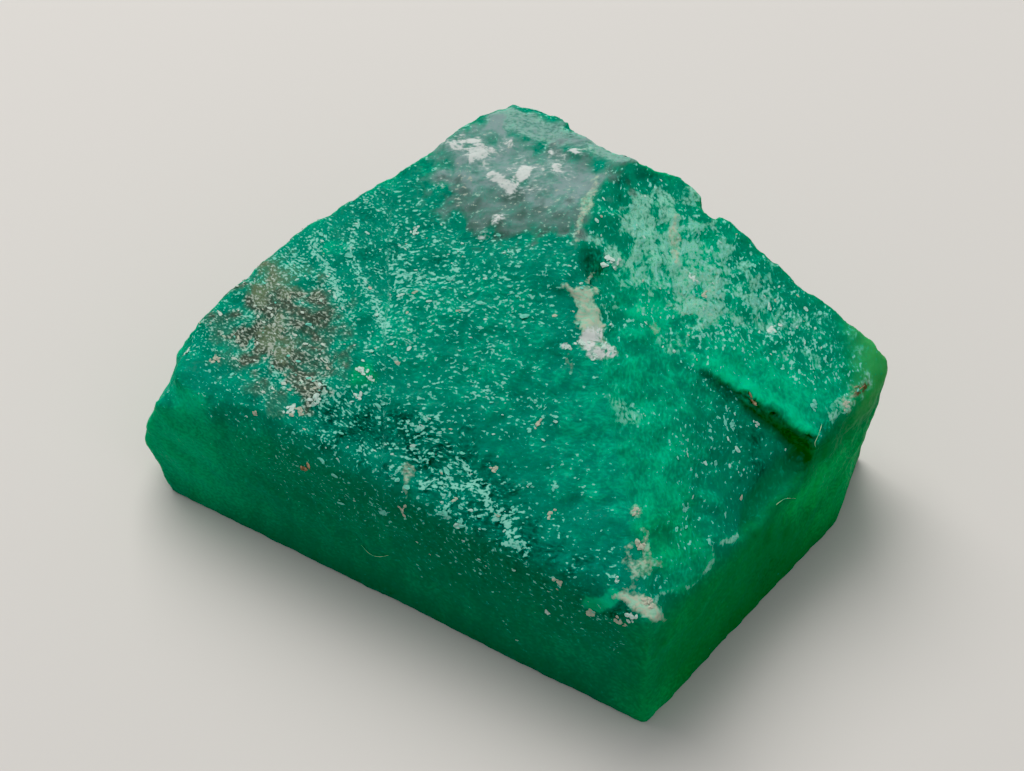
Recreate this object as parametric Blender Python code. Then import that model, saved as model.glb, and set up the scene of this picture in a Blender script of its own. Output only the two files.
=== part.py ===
"""A raw emerald crystal: one rough, unpolished lump of green beryl, 20 mm across and 8 mm high.

The lump lies on its one flat cleavage. Upright broken walls stand round it and a low roof of several natural
faces closes it. The roof's faces meet at a peak behind the middle. A step is broken out of the roof on the right,
and shell-shaped flakes are gone from the edges.

It is made as nature made it. A block is cleft along one plane for each face, its old edges are worn round, and
then the step and the flakes are broken out of it. Lengths are in millimetres until the mesh is finished. +X is to
the right, +Y to the back and +Z up, and the origin ends at the middle of the underside.
"""

from math import cos, radians, sin

import bmesh
import bpy
from mathutils import Matrix, Quaternion, Vector

MM = 0.001

BLOCK = (34.0, 34.0, 24.0)      # the rough block that everything is cleft from
WALL_TOP_WEAR = 0.45            # how far the edges between roof and walls are worn back
EDGE_WEAR = 0.18                # how far the other old edges are worn back
WEAR_STEPS = 3
FLAKE_ROUNDS = 4                # subdivisions of the ball that a flake scar is taken from
LEVEL_LIMIT = 0.5               # a face whose normal rises more than this belongs to the roof
SAME_FACE = 0.99                # two normals whose dot product is above this are one face's

# Corners that several faces share.
PEAK = (1.8, -1.6, 7.6)
BACK_CORNER = (-0.15, 4.4, 7.6)
RIGHT_SHOULDER = (4.45, 1.35, 7.6)
FRONT_CORNER = (3.73, -11.57, 0.0)
LEFT_WALL_HEAD = (-6.25, 0.28, 5.95)
STEP_HEAD = (4.92, -4.78, 6.0)

# A face: a point on it, the direction it faces in degrees from +X, and its tilt in degrees from level.
FACES = {
    "left slope": (PEAK, -113.0, 20.5),
    "far left slope": (PEAK, -146.6, 16.1),
    "right slope": (PEAK, -42.8, 19.9),
    "plateau": (PEAK, -150.0, 7.0),
    "back strip": (BACK_CORNER, 117.0, 7.0),
    "front left wall": ((-8.85, -4.59, 0.0), -120.6, 90.0),
    "front right wall": (FRONT_CORNER, -40.5, 89.0),
    "right end": ((9.72, -4.4, 3.0), -21.0, 94.8),
    "right back wall": (RIGHT_SHOULDER, 49.5, 86.0),
    "back wall": (RIGHT_SHOULDER, 56.5, 85.0),
    "left back wall": (LEFT_WALL_HEAD, 123.8, 83.0),
    "left back corner": (LEFT_WALL_HEAD, 136.0, 79.0),
    "left end": ((-9.15, -3.1, 4.8), 168.0, 70.0),
    "left foot": ((-9.74, -3.94, 0.0), 178.0, 112.0),
    "underside": ((0.0, 0.0, 0.0), 0.0, 180.0),
}

# The faces that the step leaves: its floor in front, its sloping floor behind, and the riser under its lip.
STEP_FACES = {
    "step floor": (STEP_HEAD, -30.5, 37.0),
    "step back floor": (STEP_HEAD, -61.0, 33.0),
    "step riser": (STEP_HEAD, -111.5, 78.0),
}

# A flake scar is what an egg-shaped ball takes out of a face: the face, the scar's middle, its depth, the ball's
# radii across, up and out of the face, and its turn on the face in degrees.
FLAKES = {
    "peak pit": ("right slope", (2.15, -2.35, 7.4), 0.3, (0.42, 0.75, 0.5), -42.0),
    "front notch": ("front left wall", (2.3, -11.1, 4.5), 0.35, (1.1, 0.55, 0.8), 8.0),
    "back top shell": ("back wall", (3.1, 2.3, 7.6), 0.65, (2.4, 1.8, 1.5), 0.0),
    "right back nick": ("right back wall", (5.45, 0.3, 7.0), 0.4, (0.5, 0.8, 0.9), 0.0),
    "left back shell": ("left back wall", (-2.4, 2.8, 6.9), 0.28, (6.5, 7.0, 4.6), 0.0),
    "left foot shell": ("left back wall", (-6.4, 0.4, 0.1), 0.6, (5.2, 4.2, 3.0), 25.0),
    "back shell": ("back wall", (0.7, 4.6, 2.2), 0.6, (6.5, 5.0, 4.5), -25.0),
    "right foot shell": ("right back wall", (7.6, -1.4, 0.2), 0.5, (5.5, 4.0, 3.0), 15.0),
}

BERYL_GREEN = (0.005, 0.19, 0.07, 1.0)
BERYL_IOR = 1.575


def outward(direction, tilt):
    """Return the outward unit vector of a face."""
    a, t = radians(direction), radians(tilt)
    return Vector((sin(t) * cos(a), sin(t) * sin(a), cos(t)))


def block(size):
    """Return a bmesh box round the origin."""
    box = bmesh.new()
    bmesh.ops.create_cube(box, size=1.0, matrix=Matrix.Diagonal((*size, 1.0)))
    return box


def cleave(body, face, keep_under=True):
    """Split a convex body along a face's plane, drop one side and close the new face."""
    point, direction, tilt = face
    everything = body.verts[:] + body.edges[:] + body.faces[:]
    cut = bmesh.ops.bisect_plane(body, geom=everything, plane_co=point, plane_no=outward(direction, tilt),
                                 clear_outer=keep_under, clear_inner=not keep_under)
    rim = [item for item in cut["geom_cut"] if isinstance(item, bmesh.types.BMEdge)]
    if rim:
        bmesh.ops.contextual_create(body, geom=rim)
    bmesh.ops.recalc_face_normals(body, faces=body.faces)


def wear(body, edges, depth):
    """Round some edges of a body."""
    bmesh.ops.bevel(body, geom=edges, offset=depth, offset_type="OFFSET", segments=WEAR_STEPS, profile=0.5,
                    affect="EDGES", clamp_overlap=True, material=-1)


def is_wall_top(edge):
    """Say whether an outer edge has a gently tilted face on one side and an outer wall on the other."""
    if edge.calc_face_angle_signed() <= 0.0:
        return False
    wall, roof = sorted((face.normal for face in edge.link_faces), key=lambda normal: normal.z)
    return wall.z < LEVEL_LIMIT < roof.z and wall.dot(outward(*STEP_FACES["step riser"][1:])) < SAME_FACE


def is_corner(edge):
    """Say whether an outer edge stands between two walls."""
    steep = all(abs(face.normal.z) < LEVEL_LIMIT for face in edge.link_faces)
    return steep and edge.calc_face_angle_signed() > 0.0


def solid(name, body):
    """Turn a bmesh into an object."""
    mesh = bpy.data.meshes.new(name)
    body.to_mesh(mesh)
    body.free()
    thing = bpy.data.objects.new(name, mesh)
    bpy.context.collection.objects.link(thing)
    return thing


def break_out(stone, bodies):
    """Take named bodies' shapes out of the stone, and return what is left as a bmesh."""
    cutters = [solid(name, body) for name, body in bodies.items()]
    for cutter in cutters:
        cutter.hide_render = True
        cutter.display_type = "WIRE"
        cut = stone.modifiers.new(cutter.name, "BOOLEAN")
        cut.operation = "DIFFERENCE"
        cut.solver = "EXACT"
        cut.object = cutter
    left = bmesh.new()
    left.from_object(stone, bpy.context.evaluated_depsgraph_get())
    for used in [stone] + cutters:
        bpy.data.objects.remove(used, do_unlink=True)
    return left


def flake(face, middle, depth, radii, turn):
    """Return the ball that a flake scar is taken from, turned to its face and sunk into it by the scar's depth."""
    corner, direction, tilt = FACES[face]
    out = outward(direction, tilt)
    on_face = Vector(middle) - out * out.dot(Vector(middle) - Vector(corner))
    way = out.to_track_quat("Z", "Y") @ Quaternion((0.0, 0.0, 1.0), radians(turn))
    placing = Matrix.LocRotScale(on_face + out * (radii[2] - depth), way, Vector(radii))
    ball = bmesh.new()
    bmesh.ops.create_icosphere(ball, subdivisions=FLAKE_ROUNDS, radius=1.0, matrix=placing)
    return ball


def beryl():
    """Return clear green beryl with a rough, unpolished skin."""
    material = bpy.data.materials.new("green_beryl")
    material.use_nodes = True
    skin = material.node_tree.nodes["Principled BSDF"]
    skin.inputs["Base Color"].default_value = BERYL_GREEN
    skin.inputs["Roughness"].default_value = 0.4
    skin.inputs["Metallic"].default_value = 0.0
    skin.inputs["IOR"].default_value = BERYL_IOR
    skin.inputs["Transmission Weight"].default_value = 0.4
    return material


for thing in list(bpy.data.objects):
    bpy.data.objects.remove(thing, do_unlink=True)

crystal = block(BLOCK)
for face in FACES.values():
    cleave(crystal, face)
step = block(BLOCK)
for face in STEP_FACES.values():
    cleave(step, face, keep_under=False)
crystal = break_out(solid("cleft_block", crystal), {"step": step})

bmesh.ops.dissolve_limit(crystal, angle_limit=radians(0.5), verts=crystal.verts, edges=crystal.edges)
wear(crystal, [edge for edge in crystal.edges if is_wall_top(edge)], WALL_TOP_WEAR)
wear(crystal, [edge for edge in crystal.edges if is_corner(edge)], EDGE_WEAR)
crystal = break_out(solid("worn_stone", crystal), {name: flake(*shape) for name, shape in FLAKES.items()})

low = Vector(min(vert.co[axis] for vert in crystal.verts) for axis in range(3))
high = Vector(max(vert.co[axis] for vert in crystal.verts) for axis in range(3))
middle = Vector(((low.x + high.x) / 2, (low.y + high.y) / 2, low.z))
bmesh.ops.translate(crystal, verts=crystal.verts, vec=-middle)
bmesh.ops.scale(crystal, verts=crystal.verts, vec=(MM, MM, MM))
emerald = solid("emerald_crystal", crystal)
emerald.data.materials.append(beryl())
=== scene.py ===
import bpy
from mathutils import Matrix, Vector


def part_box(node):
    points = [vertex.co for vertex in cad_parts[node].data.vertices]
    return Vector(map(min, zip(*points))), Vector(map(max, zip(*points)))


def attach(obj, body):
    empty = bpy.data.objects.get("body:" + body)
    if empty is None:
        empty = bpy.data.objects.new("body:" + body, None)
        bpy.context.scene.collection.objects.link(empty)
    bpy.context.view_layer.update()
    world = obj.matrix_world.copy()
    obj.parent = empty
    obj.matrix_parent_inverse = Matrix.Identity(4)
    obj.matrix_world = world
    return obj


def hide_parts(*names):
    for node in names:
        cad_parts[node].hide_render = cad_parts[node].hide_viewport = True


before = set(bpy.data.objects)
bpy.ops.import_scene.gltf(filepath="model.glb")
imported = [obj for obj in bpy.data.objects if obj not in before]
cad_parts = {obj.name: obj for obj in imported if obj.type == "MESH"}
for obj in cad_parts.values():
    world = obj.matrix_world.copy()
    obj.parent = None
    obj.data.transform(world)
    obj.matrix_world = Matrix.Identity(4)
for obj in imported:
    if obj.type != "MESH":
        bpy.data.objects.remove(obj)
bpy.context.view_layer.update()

from math import cos, radians, sin

import bmesh
import bpy
import numpy as np
from mathutils import Matrix, Vector, noise
from mathutils.bvhtree import BVHTree

# --------------------------------------------------------------------------------------------------
# The emerald: one lump of green beryl. Its faces were cleft and broken flat, then etched and rubbed
# in the ground, so they are slightly wavy, the ridges are blunt and fine pits follow the grain.
# Its skin is worked in millimetres and shrunk to the real size at the end.

PER_MM = 1000.0
SKIN_GRAIN = 0.087              # edge of the skin's smallest facets
UNDERSIDE_THINNING = 4          # rounds of thinning of the flat underside's facets
INSIDE_BOX = 0.002              # how far the skin stays inside the crystal's box
FLAT_HEIGHT = 0.02              # the flat underside is the skin below this height
WALL_TILT, ROOF_TILT = 0.3, 0.6     # how far up the skin faces where a wall ends and the roof starts
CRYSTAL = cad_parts["emerald_crystal"]
LOW, HIGH = (np.array(corner) * PER_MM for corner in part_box("emerald_crystal"))

# The ridge that parts the left roof from the right one, seen from above.
PEAK_X, PEAK_Y = 1.88, 1.77
RIDGE_LEAN_FRONT = -0.155       # how far the ridge moves along x for each millimetre along y
RIDGE_LEAN_BACK = 0.344
# The headings of the grain on the three parts of the roof, from +x, in degrees.
FAR_LEFT_GRAIN = -38.0
LEFT_GRAIN = -12.0
RIGHT_GRAIN = -86.0
FAR_LEFT_X = -3.3               # the long crack, where the grain of the left roof turns
BROW_SLOPE = 48.0               # how steeply one looks down on the marks of the rubbed front edge


def smooth(value, start, end):
    """Rise softly from 0 at start to 1 at end."""
    t = np.clip((value - start) / (end - start), 0.0, 1.0)
    return t * t * (3.0 - 2.0 * t)


def remeshed(node, grain):
    """Return an even, watertight copy of a node's mesh in millimetres."""
    body = bmesh.new()
    body.from_mesh(node.data)
    bmesh.ops.scale(body, verts=body.verts, vec=(PER_MM,) * 3)
    bmesh.ops.remove_doubles(body, verts=body.verts, dist=0.001)
    mesh = bpy.data.meshes.new("rough_emerald")
    body.to_mesh(mesh)
    body.free()
    rough = bpy.data.objects.new("rough_emerald", mesh)
    bpy.context.collection.objects.link(rough)
    remesh = rough.modifiers.new("even skin", "REMESH")
    remesh.mode = "VOXEL"
    remesh.voxel_size = grain
    even = bmesh.new()
    even.from_object(rough, bpy.context.evaluated_depsgraph_get())
    bpy.data.objects.remove(rough, do_unlink=True)
    bpy.data.meshes.remove(mesh)
    return even


def survey(lump):
    """Return a lump's points and the way its surface faces at each of them."""
    lump.normal_update()
    return np.array([vert.co for vert in lump.verts]), np.array([vert.normal for vert in lump.verts])


def numbered(lump):
    """Number a lump's points anew after its facets have changed."""
    lump.verts.ensure_lookup_table()
    lump.verts.index_update()


def soften(lump, chosen, rounds):
    """Rub down the skin at some of its points."""
    verts = [lump.verts[i] for i in np.flatnonzero(chosen)]
    for _ in range(rounds):
        bmesh.ops.smooth_vert(lump, verts=verts, factor=0.5,
                              use_axis_x=True, use_axis_y=True, use_axis_z=True)


def spread(values, edges, rounds):
    """Return values blurred over the skin."""
    first, second = edges.T
    count = len(values)
    degree = np.bincount(first, minlength=count) + np.bincount(second, minlength=count)
    for _ in range(rounds):
        around = np.bincount(first, values[second], count) + np.bincount(second, values[first], count)
        values = 0.5 * (values + around / degree)
    return values


def fractal(points, size, octaves, seed):
    """Return soft noise at points, about -1 to 1, with lumps of this size along each axis."""
    shifted = points / np.array(size) + np.array((seed * 17.3, seed * 5.1, seed * 9.7))
    return np.array([noise.fractal(point, 1.0, 2.0, octaves) for point in shifted])


def turned(points, degrees):
    """Return points turned about z, so that a line on this heading runs along x."""
    c, s = cos(radians(degrees)), sin(radians(degrees))
    x, y, z = points.T
    return np.stack((x * c + y * s, y * c - x * s, z), axis=1)


def gap(across, up, points, closed):
    """Return how far each point of the skin is from a line of points, and whether it lies inside it."""
    ends = np.roll(points, -1, axis=0) if closed else points[1:]
    nearest, inside = np.full(len(across), np.inf), np.zeros(len(across), bool)
    for (ax, ay), (bx, by) in zip(points, ends):
        run_x, run_y = bx - ax, by - ay
        along = ((across - ax) * run_x + (up - ay) * run_y) / (run_x ** 2 + run_y ** 2)
        share = np.clip(along, 0.0, 1.0)
        to_run = np.hypot(across - ax - share * run_x, up - ay - share * run_y)
        nearest = np.minimum(nearest, to_run)
        inside ^= ((ay > up) != (by > up)) & (across < ax + (up - ay) * run_x / (run_y or 1.0))
    return nearest, inside


# The lip of the step that is broken out of the right roof, from its head to its tip over the wall.
LIP = np.array([(4.99, -1.46), (5.33, -1.54), (5.67, -1.71), (5.94, -1.83), (6.23, -1.92),
                (6.46, -2.10), (6.72, -2.22), (6.98, -2.32), (7.22, -2.49), (7.45, -2.60),
                (7.79, -2.76)])
LIP_BREAK = 0.55                # how far from the lip the facets are made finer
LIP_FOOT = 2.5                  # the skin below this height has nothing to do with the lip

stone = remeshed(CRYSTAL, SKIN_GRAIN)
underside = [vert for vert in stone.verts
             if vert.co.z < FLAT_HEIGHT and all(face.normal.z < -0.99 for face in vert.link_faces)]
bmesh.ops.unsubdivide(stone, verts=underside, iterations=UNDERSIDE_THINNING)
numbered(stone)
soften(stone, np.ones(len(stone.verts)), 2)
place, facing = survey(stone)
by_lip = (gap(place[:, 0], place[:, 1], LIP, False)[0] < LIP_BREAK) & (place[:, 2] > LIP_FOOT)
lip_edges = [edge for edge in stone.edges if all(by_lip[vert.index] for vert in edge.verts)]
bmesh.ops.subdivide_edges(stone, edges=lip_edges, cuts=1, use_grid_fill=True)
numbered(stone)
edges = np.array([[vert.index for vert in edge.verts] for edge in stone.edges])

# The roof rolls over into the front left wall, most of all at the left end, where the edge is rubbed
# away. Each stretch is rubbed down to the left of its x, for some rounds.
RUBBED_STRETCHES = [(2.6, 60), (-4.0, 120), (-6.5, 200)]
place, facing = survey(stone)
x, y, z = place.T
wall = spread(1.0 - smooth(facing[:, 2], WALL_TILT, ROOF_TILT), edges, 40)
rubbed = (wall > 0.04) & (wall < 0.96) & (z > 2.2) & (y < 1.0)
for stretch_x, rounds in RUBBED_STRETCHES:
    soften(stone, rubbed & (x < stretch_x), rounds)

# The parts of the skin: each is 1 where it holds, 0 elsewhere and soft between.
place, facing = survey(stone)
x, y, z = place.T
roof = smooth(facing[:, 2], WALL_TILT, ROOF_TILT)
wall = spread(1.0 - roof, edges, 30)
ridge_lean = np.where(y > PEAK_Y, RIDGE_LEAN_BACK, RIDGE_LEAN_FRONT)
right = smooth(x - PEAK_X - ridge_lean * (y - PEAK_Y), -0.1, 0.1)
far_left = smooth(FAR_LEFT_X - x, -0.3, 0.3)
standing = smooth(z, 0.05, 0.6)         # 0 at the foot, where the stone stays flat on what it lies on
behind = wall * smooth(spread(facing[:, 1], edges, 20), -0.1, 0.4)     # the broken walls at the back

# The rubbed front edge as one looks down on it: how high each point shows, and whether it shows.
brow_sin, brow_cos = sin(radians(BROW_SLOPE)), cos(radians(BROW_SLOPE))
brow_up = y * brow_sin + z * brow_cos
brow_seen = smooth(facing[:, 2] * brow_sin - facing[:, 1] * brow_cos, 0.0, 0.3)

# Noises over the skin, by the size of their lumps, and streaks that follow the grain.
raggedness = fractal(place, (0.55, 0.55, 0.55), 4, 10)
clumps = fractal(place, (0.8, 0.8, 0.8), 3, 11)
clouds = fractal(place, (2.2, 2.2, 2.2), 3, 12)
mottle = fractal(place, (0.45, 0.45, 0.45), 4, 13)
grit = fractal(place, (0.28, 0.28, 0.28), 2, 9)


def grained(size, seed):
    """Return noise that is drawn out along the grain of each part of the roof."""
    far, left, over = (fractal(turned(place, heading), size, 4, seed + step)
                       for step, heading in enumerate((FAR_LEFT_GRAIN, LEFT_GRAIN, RIGHT_GRAIN)))
    return (left + (far - left) * far_left) * (1.0 - right) + over * right


rows = grained((0.9, 0.22, 0.5), 20)
streaks = grained((0.7, 0.16, 0.5), 30)


def filled(across, up, outline, soft, ragged):
    """Return 1 inside an outline and 0 outside it, with a soft ragged rim."""
    nearest, inside = gap(across, up, np.array(outline), True)
    return smooth(np.where(inside, nearest, -nearest) + ragged * raggedness, -soft, soft)


def drawn(across, up, points, width, ragged):
    """Return 1 along a line of points and 0 away from it, with ragged sides."""
    nearest, _ = gap(across, up, np.array(points), False)
    return 1.0 - smooth(nearest / width + ragged * raggedness, 0.5, 1.3)


def area(*outline, soft=0.12, ragged=0.2):
    """Return a patch of the roof, from its outline seen from above."""
    return roof * filled(x, y, outline, soft, ragged)


def brow(*outline, soft=0.12, ragged=0.2):
    """Return a patch that hangs over the rubbed front edge, as its outline shows down BROW_SLOPE."""
    return brow_seen * filled(x, brow_up, outline, soft, ragged)


def trail(*points, width=0.1, ragged=0.5):
    """Return a line that runs over the roof, seen from above."""
    return roof * drawn(x, y, points, width, ragged)


def wall_trail(*points, width=0.1, ragged=0.5):
    """Return a line on the front walls, given by its x and z."""
    return (1.0 - roof) * (y < x) * drawn(x, z, points, width, ragged)


def spot(middle, radius, ragged=0.5):
    """Return a round patch of the roof, seen from above."""
    away = np.hypot(x - middle[0], y - middle[1]) / radius
    return roof * (1.0 - smooth(away + ragged * raggedness, 0.6, 1.2))


# The step: how far each point lies above (+) or below (-) the lip, and the parts under the lip.
lip_gap, _ = gap(x, y, LIP, False)
lip_x, lip_y = LIP.T
above_lip = y > np.interp(x, lip_x, lip_y) + 0.06 * raggedness
lip_side = np.where(above_lip, lip_gap, -lip_gap)
lip_reach = smooth(x, lip_x[0] - 0.1, lip_x[0] + 0.5) * smooth(lip_x[-1] + 0.5 - x, 0.0, 0.3)
scoop = area((5.07, -1.49), (6.51, -2.09), (7.80, -2.78), (7.84, -2.91), (7.12, -3.40), (6.48, -3.84),
             (6.10, -3.17), (5.59, -2.33), soft=0.12, ragged=0.15)
riser = area((5.94, -1.86), (6.51, -2.12), (7.80, -2.78), (7.84, -2.91), (7.55, -2.91), (6.88, -2.65),
             (6.35, -2.12), soft=0.1, ragged=0.1)
chip = area((7.81, -2.81), (7.13, -3.12), (6.49, -3.75), (6.21, -4.45), (5.93, -5.20), (6.30, -5.11),
            (6.97, -4.29), (7.67, -3.49), (8.05, -3.02), soft=0.12, ragged=0.15)

# Two places that more than one map marks: the strip behind the top, and the pit beside the peak.
BACK_STRIP = [(-0.03, 7.32), (3.59, 4.69), (2.83, 4.50), (1.83, 5.08), (0.86, 5.59), (-0.26, 6.19),
              (-0.89, 6.60)]
GREEN_PIT = [(1.97, 1.31), (2.11, 1.63), (2.43, 1.68), (2.62, 1.44), (2.63, 1.02), (2.35, 0.97),
             (2.11, 0.42), (2.02, 0.85)]

# The colours are kept as maps of the skin, built up from patches that are 1 inside and 0 outside.
# Tone: how light the green is, from 0, near black, to 1, clear green where the light comes through.
tone = 0.55 + 0.08 * clouds + 0.06 * clumps
# The right roof: its clear front, its middle, its back and the slab above the step.
tone += 0.16 * area((1.37, -2.57), (1.98, -1.15), (3.44, -0.75), (5.04, -0.93), (4.76, -2.35),
                    (5.05, -4.03), (4.58, -5.97), (3.26, -6.83), (1.91, -6.22), (1.20, -4.63), soft=0.6,
                    ragged=0.8)
tone += 0.17 * area((2.80, 3.22), (3.87, 4.10), (5.24, 3.30), (6.38, 1.21), (5.76, -0.13),
                    (3.72, -0.55), (2.94, 0.48), soft=0.3, ragged=0.6)
tone += 0.10 * area((2.71, 1.95), (5.79, 3.10), (8.70, 0.47), (9.17, -0.64), (5.05, -0.72),
                    (3.45, -0.60), soft=0.7, ragged=0.8)
tone += 0.20 * area((4.80, -0.39), (6.69, -0.60), (8.65, -0.80), (9.64, -1.03), (8.63, -2.22),
                    (7.79, -2.76), (6.51, -2.09), (4.99, -1.43), soft=0.4, ragged=0.5)
# The left roof: light in its middle, dark along the rubbed front edge and below the top.
tone += 0.10 * area((-3.49, 0.92), (-0.78, 1.34), (1.35, 0.15), (1.32, -2.03), (-0.76, -2.35),
                    (-2.88, -1.33), soft=0.8, ragged=0.8)
tone -= 0.22 * area((-5.53, -1.86), (-2.86, -2.15), (-1.01, -3.39), (0.28, -4.81), (1.28, -6.66),
                    (2.27, -7.75), (0.28, -6.57), (-2.02, -4.85), (-4.68, -3.03), soft=0.5, ragged=0.8)
tone -= 0.10 * area((-4.53, 4.64), (-1.66, 5.30), (-0.79, 2.01), (-2.39, 0.70), (-4.38, 2.44), soft=0.6,
                    ragged=0.8)
# The dull front corner, and painted light along the thin clear rim of the wall beside it.
tone -= 0.10 * area((1.29, -5.66), (2.55, -5.27), (3.26, -6.83), (2.27, -7.40), soft=0.3, ragged=0.5)
tone += 0.14 * area((3.87, -6.72), (4.58, -6.09), (5.06, -5.90), (5.16, -6.13), (5.05, -6.50),
                    (4.83, -6.82), (4.44, -7.16), (3.96, -7.37), soft=0.12, ragged=0.2)
tone += 0.20 * trail((5.90, -5.28), (5.64, -5.53), (5.33, -5.77), width=0.1)
tone += 0.2 * trail((5.16, -6.13), (4.83, -6.82), (4.44, -7.16), (3.80, -7.52), width=0.08)
# Clear windows in the left roof; the last, at the left end, is a painted glint.
tone += 0.25 * spot((-4.71, 2.98), 0.35)
tone += 0.25 * spot((-3.91, -1.42), 0.3)
tone += 0.3 * spot((-8.54, -1.33), 0.4)
# Painted shade in the pits below the clinging rock and beside the peak and in notches of the back edge,
# and a darker patch behind the peak.
tone -= 0.45 * area((-5.31, -1.34), (-4.96, -1.28), (-4.71, -1.58), (-4.83, -1.79), (-5.13, -1.69),
                    soft=0.06, ragged=0.2)
tone -= 0.30 * area(*GREEN_PIT, soft=0.08, ragged=0.1)
tone -= 0.25 * area((5.31, 3.63), (5.52, 3.44), (5.56, 3.05), (5.34, 3.10), soft=0.12)
tone -= 0.20 * area((3.88, 4.36), (4.28, 4.53), (4.37, 3.89), (4.01, 3.94), soft=0.12)
tone -= 0.10 * area((2.81, 3.89), (3.60, 4.30), (4.13, 3.52), (3.54, 2.45), (2.77, 2.34), soft=0.2,
                    ragged=0.6)
# Painted shade on the floor of the step, more of it along a crease, and a little painted light on its
# riser.
tone -= 0.07 * scoop
tone += 0.10 * riser
tone -= 0.07 * trail((5.38, -1.95), (5.74, -2.49), (6.19, -2.87), (6.49, -3.75), width=0.22, ragged=0.5)

# The walls: cloudy, and cloudier on the right, with a painted glow that grows towards both ends.
wall_tone = 0.58 + (0.06 + 0.07 * smooth(x, 3.8, 4.6)) * clouds
wall_tone += 0.20 * smooth(-x, 5.5, 9.0)
wall_tone += 0.10 * smooth(x, 6.3, 8.6)
# Painted shade below the rubbed edge and at the foot, and a painted pool of light at the foot of the
# front corner.
wall_tone -= 0.14 * smooth(z, 1.5, 4.5) * smooth(x, -5.5, -1.5) * smooth(2.8 - x, -0.2, 0.5)
wall_tone -= 0.12 * smooth(1.2 - z, 0.0, 1.2) * (1.0 - smooth(x, 1.5, 3.4) * smooth(5.2 - x, 0.0, 1.2))
wall_tone += 0.20 * smooth(1.6 - z, 0.0, 1.4) * smooth(x, 2.2, 3.4) * smooth(5.2 - x, 0.0, 1.2)
# The right wall: painted shade under the lip and lower down, a painted glow near its tip, and upright
# veils all round.
wall_tone -= 0.24 * smooth(x, 5.4, 6.6) * smooth(z, 3.1, 4.0)
wall_tone += 0.20 * smooth(1.5 - np.hypot(x - 8.2, z - 3.2), 0.0, 1.2)
wall_tone -= 0.12 * smooth(1.8 - np.hypot(x - 7.0, z - 1.7), 0.0, 1.4)
wall_tone += 0.06 * fractal(place, (0.4, 0.4, 2.2), 3, 40)
wall_tone += behind * (0.10 * clouds + 0.14 * clumps + 0.20 * smooth(1.5 - z, 0.0, 1.2))
tone = tone + (wall_tone - tone) * wall + (0.12 * roof + 0.03) * mottle
# Painted light above the lip, painted shade under it, and the chip at its tip.
tone += 0.18 * smooth(lip_side, -0.02, 0.04) * smooth(0.7 - lip_side, 0.0, 0.5) * lip_reach * roof
tone -= 0.05 * smooth(-lip_side, -0.03, 0.03) * smooth(0.30 + lip_side, 0.0, 0.24) * lip_reach
tone += (0.50 - tone) * 0.8 * chip
# The brow: a painted glint at the left end, and a clear leaf above a hollow darkened with painted shade
# at the front corner.
leaf = brow((1.71, -3.04), (1.90, -2.70), (2.27, -2.79), (2.56, -2.47), (2.75, -2.56), (2.85, -2.75),
            (2.54, -2.97), (2.27, -3.17), (1.98, -3.15), soft=0.05, ragged=0.05)
hollow = brow((2.32, -3.19), (2.56, -3.00), (2.85, -2.78), (2.97, -2.94), (2.99, -3.19), (2.71, -3.32),
              soft=0.06, ragged=0.05)
tone += (0.95 - tone) * 0.7 * brow((-9.12, 2.33), (-8.66, 2.38), (-8.19, 2.22), (-8.09, 1.90),
                                   (-8.48, 1.57), (-8.98, 1.62), (-9.19, 1.95), soft=0.14, ragged=0.2)
tone += (0.98 - tone) * 0.9 * leaf
tone += (0.22 - tone) * 0.8 * hollow

# Warmth: the roof is bluish, the right wall nearly grass green, and thin edges glow yellowish.
warmth = 0.15 * right * roof
warmth += wall * (0.40 + 0.6 * smooth(x, 2.2, 4.6) * (1.0 - behind)
                  - 0.3 * behind * smooth(clouds, -0.3, 0.3))
warmth += 0.15 * riser
warmth += 0.3 * chip
warmth += 0.4 * smooth(x, 8.8, 9.9)
warmth += 0.5 * area((2.33, 1.37), (2.64, 1.26), (2.58, 0.88), (2.35, 1.04))
warmth += 0.3 * area((3.29, -5.84), (4.62, -4.96), (4.83, -6.36), (3.50, -7.10), soft=0.5)
warmth += 0.5 * spot((-3.91, -1.42), 0.4)
glow = smooth(x, 8.7, 9.9) * smooth(z, 3.4, 4.6)

# Frost: the milky bruised skin. It lies on the right roof, thickest in the middle and by the peak.
frost = 0.72 * area((2.77, 2.21), (3.56, 2.92), (4.96, 3.23), (6.15, 1.93), (6.36, 0.90), (5.50, 0.18),
                    (4.55, 0.16), (3.89, 0.68), (3.08, 0.66), soft=0.6, ragged=1.1)
frost += 0.35 * area((5.79, 3.10), (7.67, 1.63), (9.24, 0.28), (8.60, -0.75), (6.17, -0.05), soft=0.5,
                     ragged=1.0)
frost += 0.35 * area((3.70, 0.49), (5.55, 1.03), (5.73, -0.58), (4.23, -1.03), soft=0.3, ragged=0.9)
frost += 0.5 * area((2.50, 2.37), (3.86, 3.78), (4.99, 3.88), (4.10, 2.57), (2.70, 1.64), soft=0.3,
                    ragged=0.9)
# Along the ridge, on the strip behind the top, and on the left end.
frost += 0.3 * area((1.48, 0.13), (2.40, 0.07), (2.62, -1.89), (3.36, -3.21), (2.58, -3.73),
                    (1.71, -2.60), soft=0.4, ragged=0.9)
frost += 1.12 * area(*BACK_STRIP, soft=0.1, ragged=0.15)
frost += 0.5 * area((-8.15, 0.88), (-8.02, 1.91), (-7.49, 2.34), (-7.12, 1.33), (-7.48, 0.58), soft=0.3,
                    ragged=0.5)
frost += 0.5 * area((-9.25, -0.65), (-8.64, -0.48), (-8.31, -1.18), (-8.70, -1.27), (-9.31, -0.91),
                    soft=0.25, ragged=0.5)
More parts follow.
